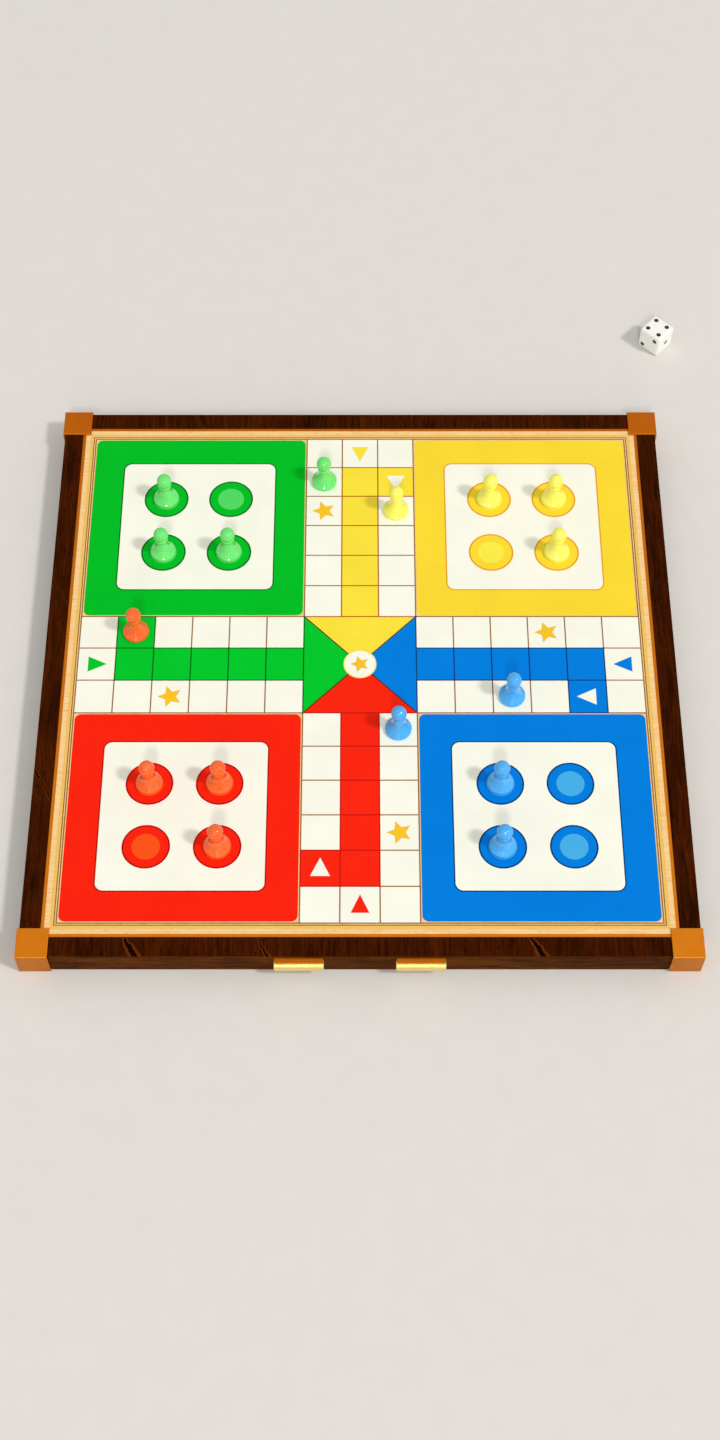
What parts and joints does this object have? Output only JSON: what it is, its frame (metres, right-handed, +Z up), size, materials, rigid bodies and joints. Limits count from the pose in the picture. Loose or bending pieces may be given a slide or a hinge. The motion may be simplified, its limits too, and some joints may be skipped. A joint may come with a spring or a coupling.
{
  "type": "ludo board",
  "caption": "Framed ludo board: shallow walnut case with brass corners, inlaid playing field, full-width drawer with brass bar pulls, pawns and a die.",
  "frame": {"origin": "on the table, under the middle of the playing field", "axes": "+X to the right of a player at the drawer, +Y away from the drawer, +Z up"},
  "size_m": [0.3898, 0.4584, 0.0402],
  "materials": {
    "walnut": "oiled, satin",
    "maple": "lacquered",
    "plywood": "raw, sanded",
    "beech": "waxed",
    "dark_string": "lacquered",
    "brass": "satin",
    "bright_brass": "polished",
    "steel": "plated",
    "baize": "felted",
    "cream_inlay": "satin",
    "gold_inlay": "satin",
    "yard_outline": "satin",
    "yellow_inlay": "satin",
    "blue_inlay": "satin",
    "red_inlay": "satin",
    "green_inlay": "satin",
    "yellow_spot": "satin",
    "blue_spot": "satin",
    "red_spot": "satin",
    "green_spot": "satin",
    "yellow_pawn": "glossy",
    "blue_pawn": "glossy",
    "red_pawn": "glossy",
    "green_pawn": "glossy",
    "die_white": "glossy",
    "die_black": "glossy"
  },
  "bodies": {
    "case": {"left_rail": "walnut", "right_rail": "walnut", "back_rail": "walnut", "front_posts": "walnut", "frame_dowels": "beech", "base_panel": "plywood", "base_screws": "steel", "base_baize": "baize", "board_panel": "plywood", "corner_caps": "brass", "outer_brass_string": "brass", "maple_banding": "maple", "inner_brass_string": "bright_brass", "maple_ground": "maple", "track_lines": "dark_string", "cream_track_tiles": "cream_inlay", "yard_insets": "cream_inlay", "yard_outlines": "yard_outline", "cream_signs": "cream_inlay", "gold_signs": "gold_inlay", "drawer_stop": "beech", "yellow_yard_plate": "yellow_inlay", "yellow_path_tiles": "yellow_inlay", "yellow_spot_centres": "yellow_spot", "blue_yard_plate": "blue_inlay", "blue_path_tiles": "blue_inlay", "blue_spot_centres": "blue_spot", "red_yard_plate": "red_inlay", "red_path_tiles": "red_inlay", "red_spot_centres": "red_spot", "green_yard_plate": "green_inlay", "green_path_tiles": "green_inlay", "green_spot_centres": "green_spot"},
    "drawer": {"drawer_front": "walnut", "drawer_sides": "beech", "drawer_back": "beech", "drawer_floor": "plywood", "drawer_liner": "baize", "drawer_dividers": "beech", "drawer_pulls": "brass", "pull_screws": "steel"},
    "yellow_pawn_1": {"yellow_pawn_1": "yellow_pawn"},
    "yellow_pawn_2": {"yellow_pawn_2": "yellow_pawn"},
    "yellow_pawn_3": {"yellow_pawn_3": "yellow_pawn"},
    "yellow_pawn_4": {"yellow_pawn_4": "yellow_pawn"},
    "blue_pawn_1": {"blue_pawn_1": "blue_pawn"},
    "blue_pawn_2": {"blue_pawn_2": "blue_pawn"},
    "blue_pawn_3": {"blue_pawn_3": "blue_pawn"},
    "blue_pawn_4": {"blue_pawn_4": "blue_pawn"},
    "red_pawn_1": {"red_pawn_1": "red_pawn"},
    "red_pawn_2": {"red_pawn_2": "red_pawn"},
    "red_pawn_3": {"red_pawn_3": "red_pawn"},
    "red_pawn_4": {"red_pawn_4": "red_pawn"},
    "green_pawn_1": {"green_pawn_1": "green_pawn"},
    "green_pawn_2": {"green_pawn_2": "green_pawn"},
    "green_pawn_3": {"green_pawn_3": "green_pawn"},
    "green_pawn_4": {"green_pawn_4": "green_pawn"},
    "die": {"die": "die_white", "die_pips": "die_black"}
  },
  "joints": [
    {"name": "drawer_slide", "type": "slide", "parent": "case", "child": "drawer", "axis": [0, -1, 0], "range_m": [0, 0.177]},
    {"name": "yellow_pawn_1_lift", "type": "slide", "parent": "case", "child": "yellow_pawn_1", "axis": [0, 0, 1], "range_m": [0, 0.06]},
    {"name": "yellow_pawn_2_lift", "type": "slide", "parent": "case", "child": "yellow_pawn_2", "axis": [0, 0, 1], "range_m": [0, 0.06]},
    {"name": "yellow_pawn_3_lift", "type": "slide", "parent": "case", "child": "yellow_pawn_3", "axis": [0, 0, 1], "range_m": [0, 0.06]},
    {"name": "yellow_pawn_4_lift", "type": "slide", "parent": "case", "child": "yellow_pawn_4", "axis": [0, 0, 1], "range_m": [0, 0.06]},
    {"name": "blue_pawn_1_lift", "type": "slide", "parent": "case", "child": "blue_pawn_1", "axis": [0, 0, 1], "range_m": [0, 0.06]},
    {"name": "blue_pawn_2_lift", "type": "slide", "parent": "case", "child": "blue_pawn_2", "axis": [0, 0, 1], "range_m": [0, 0.06]},
    {"name": "blue_pawn_3_lift", "type": "slide", "parent": "case", "child": "blue_pawn_3", "axis": [0, 0, 1], "range_m": [0, 0.06]},
    {"name": "blue_pawn_4_lift", "type": "slide", "parent": "case", "child": "blue_pawn_4", "axis": [0, 0, 1], "range_m": [0, 0.06]},
    {"name": "red_pawn_1_lift", "type": "slide", "parent": "case", "child": "red_pawn_1", "axis": [0, 0, 1], "range_m": [0, 0.06]},
    {"name": "red_pawn_2_lift", "type": "slide", "parent": "case", "child": "red_pawn_2", "axis": [0, 0, 1], "range_m": [0, 0.06]},
    {"name": "red_pawn_3_lift", "type": "slide", "parent": "case", "child": "red_pawn_3", "axis": [0, 0, 1], "range_m": [0, 0.06]},
    {"name": "red_pawn_4_lift", "type": "slide", "parent": "case", "child": "red_pawn_4", "axis": [0, 0, 1], "range_m": [0, 0.06]},
    {"name": "green_pawn_1_lift", "type": "slide", "parent": "case", "child": "green_pawn_1", "axis": [0, 0, 1], "range_m": [0, 0.06]},
    {"name": "green_pawn_2_lift", "type": "slide", "parent": "case", "child": "green_pawn_2", "axis": [0, 0, 1], "range_m": [0, 0.06]},
    {"name": "green_pawn_3_lift", "type": "slide", "parent": "case", "child": "green_pawn_3", "axis": [0, 0, 1], "range_m": [0, 0.06]},
    {"name": "green_pawn_4_lift", "type": "slide", "parent": "case", "child": "green_pawn_4", "axis": [0, 0, 1], "range_m": [0, 0.06]},
    {"name": "die_lift", "type": "slide", "parent": "case", "child": "die", "axis": [0, 0, 1], "range_m": [0, 0.06]}
  ]
}
